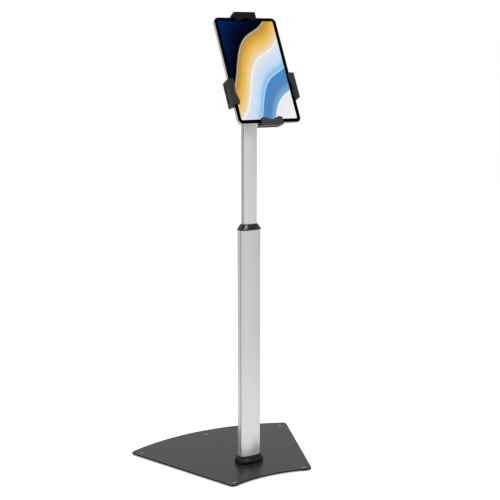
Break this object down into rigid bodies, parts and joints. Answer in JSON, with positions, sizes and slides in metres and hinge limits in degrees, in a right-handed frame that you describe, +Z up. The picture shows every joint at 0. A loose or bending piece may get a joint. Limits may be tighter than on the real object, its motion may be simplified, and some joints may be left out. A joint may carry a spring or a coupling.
{
  "type": "tablet floor stand",
  "caption": "Floor stand with a flat steel base, a telescoping flat column and a tilting, turning clamp with spring-drawn side jaws that grips a tablet by its edges.",
  "frame": {"origin": "on the floor under the column's axis", "axes": "+Z up along the column, -Y towards the person who uses the screen, +X to that person's right"},
  "size_m": [0.4522, 0.3665, 1.0887],
  "materials": {
    "coated_steel": "fine satin powder coat, dark grey",
    "satin_aluminium": "satin anodised, brushed lengthwise",
    "cast_aluminium": "sand-blasted casting",
    "zinc_steel": "zinc plated",
    "black_metal": "black coated steel",
    "black_plastic": "fine grained, moulded",
    "gloss_black_plastic": "glossy, moulded",
    "white_nylon": "natural nylon",
    "grip_rubber": "soft, matt",
    "tablet_aluminium": "fine blasted, silver",
    "cover_glass": "polished, black border",
    "screen": "lit screen with a soft coloured pattern"
  },
  "bodies": {
    "stand": {"base_plate": "coated_steel", "foot_pads": "grip_rubber", "base_screws": "zinc_steel", "column_plug": "cast_aluminium", "column_screws": "black_metal", "column_boot": "black_plastic", "lower_column": "satin_aluminium", "column_collar": "gloss_black_plastic", "guide_bush": "white_nylon", "height_boss": "satin_aluminium", "brake_pad": "white_nylon"},
    "height_clamp": {"height_knob": "black_plastic", "height_screw": "zinc_steel"},
    "mast": {"upper_column": "satin_aluminium", "tail_bush": "white_nylon", "head_plug": "cast_aluminium", "head_bracket": "black_metal", "bracket_screws": "zinc_steel", "tilt_bolt": "zinc_steel", "tilt_washers": "white_nylon"},
    "tilt_clamp": {"tilt_knob": "black_plastic"},
    "tilting_head": {"tilt_block": "cast_aluminium", "turn_bolt": "zinc_steel", "turn_stop_pin": "zinc_steel", "turn_washer": "white_nylon", "turn_spring": "zinc_steel"},
    "holder": {"rear_housing": "black_plastic", "front_housing": "black_plastic", "housing_screws": "black_metal", "housing_pads": "grip_rubber", "guide_plate": "zinc_steel", "pinion_pin": "zinc_steel", "pinion_spring": "zinc_steel", "tablet_shell": "tablet_aluminium", "tablet_glass": "cover_glass", "tablet_display": "screen"},
    "gear": {"arm_pinion": "white_nylon"},
    "top_clamp": {"top_arm_screw": "black_plastic"},
    "bottom_clamp": {"bottom_arm_screw": "black_plastic"},
    "foot_1": {"foot_stud_1": "zinc_steel"},
    "foot_2": {"foot_stud_2": "zinc_steel"},
    "foot_3": {"foot_stud_3": "zinc_steel"},
    "foot_4": {"foot_stud_4": "zinc_steel"},
    "foot_5": {"foot_stud_5": "zinc_steel"},
    "left_slide": {"left_arm": "black_metal", "left_jaw": "black_plastic", "left_jaw_pad": "grip_rubber", "left_jaw_screws": "black_metal"},
    "right_slide": {"right_arm": "black_metal", "right_jaw": "black_plastic", "right_jaw_pad": "grip_rubber", "right_jaw_screws": "black_metal"},
    "top_slide": {"top_arm": "black_metal", "top_jaw": "black_plastic", "top_jaw_pad": "grip_rubber", "top_jaw_screws": "black_metal"},
    "bottom_slide": {"bottom_arm": "black_metal", "bottom_jaw": "black_plastic", "bottom_jaw_pad": "grip_rubber", "bottom_jaw_screws": "black_metal"}
  },
  "joints": [
    {"name": "foot_1_turn", "type": "hinge", "parent": "stand", "child": "foot_1", "pos_m": [-0.203, 0.186, 0.005], "axis": [0, 0, 1], "range_deg": [-360, 360]},
    {"name": "foot_2_turn", "type": "hinge", "parent": "stand", "child": "foot_2", "pos_m": [0, 0.2285, 0.005], "axis": [0, 0, 1], "range_deg": [-360, 360]},
    {"name": "foot_3_turn", "type": "hinge", "parent": "stand", "child": "foot_3", "pos_m": [0.203, 0.186, 0.005], "axis": [0, 0, 1], "range_deg": [-360, 360]},
    {"name": "foot_4_turn", "type": "hinge", "parent": "stand", "child": "foot_4", "pos_m": [0.0965, -0.099, 0.005], "axis": [0, 0, 1], "range_deg": [-360, 360]},
    {"name": "foot_5_turn", "type": "hinge", "parent": "stand", "child": "foot_5", "pos_m": [-0.0965, -0.099, 0.005], "axis": [0, 0, 1], "range_deg": [-360, 360]},
    {"name": "height_knob_turn", "type": "hinge", "parent": "stand", "child": "height_clamp", "pos_m": [0, 0.0185, 0.556], "axis": [0, 1, 0], "range_deg": [0, 180]},
    {"name": "height_slide", "type": "slide", "parent": "stand", "child": "mast", "axis": [0, 0, 1], "range_m": [-0.253, 0.0935]},
    {"name": "tilt_knob_turn", "type": "hinge", "parent": "mast", "child": "tilt_clamp", "pos_m": [0.0268, 0, 0.882], "axis": [1, 0, 0], "range_deg": [0, 360]},
    {"name": "head_tilt", "type": "hinge", "parent": "mast", "child": "tilting_head", "pos_m": [0, 0, 0.882], "axis": [-1, 0, 0], "range_deg": [-27, 60]},
    {"name": "holder_turn", "type": "hinge", "parent": "tilting_head", "child": "holder", "pos_m": [0, -0.03266, 0.89874], "axis": [0, -0.8899, 0.4562], "range_deg": [-90, 90]},
    {"name": "left_arm_slide", "type": "slide", "parent": "holder", "child": "left_slide", "axis": [-1, 0, 0], "range_m": [0, 0.025], "stiffness_N_per_m": 150, "springref_m": -0.03},
    {"name": "right_arm_slide", "type": "slide", "parent": "holder", "child": "right_slide", "axis": [1, 0, 0], "range_m": [0, 0.025]},
    {"name": "arm_pinion_turn", "type": "hinge", "parent": "holder", "child": "gear", "pos_m": [0, -0.04761, 0.9064], "axis": [0, -0.8899, 0.4562], "range_deg": [0, 144]},
    {"name": "top_arm_slide", "type": "slide", "parent": "holder", "child": "top_slide", "axis": [0, 0.4562, 0.8899], "range_m": [0, 0.022]},
    {"name": "bottom_arm_slide", "type": "slide", "parent": "holder", "child": "bottom_slide", "axis": [0, -0.4562, -0.8899], "range_m": [0, 0.022]},
    {"name": "top_arm_screw_turn", "type": "hinge", "parent": "holder", "child": "top_clamp", "pos_m": [0, -0.01415, 0.9342], "axis": [0, 0.8899, -0.4562], "range_deg": [0, 360]},
    {"name": "bottom_arm_screw_turn", "type": "hinge", "parent": "holder", "child": "bottom_clamp", "pos_m": [0, -0.05064, 0.86301], "axis": [0, 0.8899, -0.4562], "range_deg": [0, 360]}
  ],
  "couplings": [
    {"joint": "right_arm_slide", "follows": "left_arm_slide", "ratio": 1},
    {"joint": "arm_pinion_turn", "follows": "left_arm_slide", "rad_per_m": 100}
  ]
}
